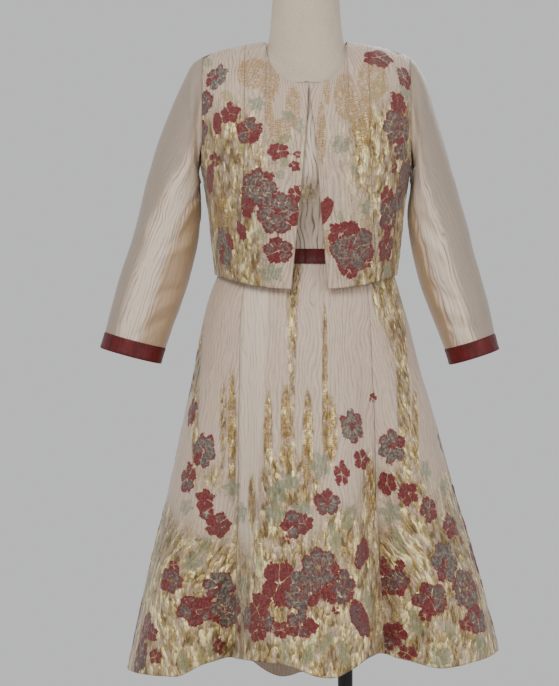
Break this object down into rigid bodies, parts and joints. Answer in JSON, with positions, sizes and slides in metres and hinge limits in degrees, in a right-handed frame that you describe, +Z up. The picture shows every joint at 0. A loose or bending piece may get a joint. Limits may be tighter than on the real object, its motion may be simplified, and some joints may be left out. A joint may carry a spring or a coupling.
{
  "type": "brocade dress and cropped jacket set on a dress form",
  "caption": "Flared brocade dress with satin belt under a cropped open collarless jacket with three quarter sleeves, on a limbless dress form with a round stand.",
  "frame": {"origin": "middle of the underside of the stand's base, on the floor", "axes": "+Z up along the pole, -Y towards the wearer's front, +X to the right as seen from the front"},
  "size_m": [0.6455, 0.4554, 1.5],
  "materials": {
    "dress_brocade": "champagne brocade with gold thread and woven flowers",
    "jacket_brocade": "champagne and gold brocade with woven flowers",
    "red_satin": "dark red satin",
    "form_linen": "matt cream linen",
    "stand_metal": "black satin paint"
  },
  "bodies": {
    "root": {"belt": "red_satin", "cuff_left": "red_satin", "cuff_right": "red_satin", "dress_bodice_back_left": "dress_brocade", "dress_bodice_back_right": "dress_brocade", "dress_bodice_front": "dress_brocade", "form_torso": "form_linen", "jacket_back": "jacket_brocade", "jacket_front_left": "jacket_brocade", "jacket_front_right": "jacket_brocade", "jacket_side_left": "jacket_brocade", "jacket_side_right": "jacket_brocade", "skirt_back_left": "dress_brocade", "skirt_back_right": "dress_brocade", "skirt_front_centre": "dress_brocade", "skirt_front_left": "dress_brocade", "skirt_front_right": "dress_brocade", "sleeve_left": "jacket_brocade", "sleeve_right": "jacket_brocade", "stand_base": "stand_metal", "stand_pole": "stand_metal"}
  },
  "joints": []
}
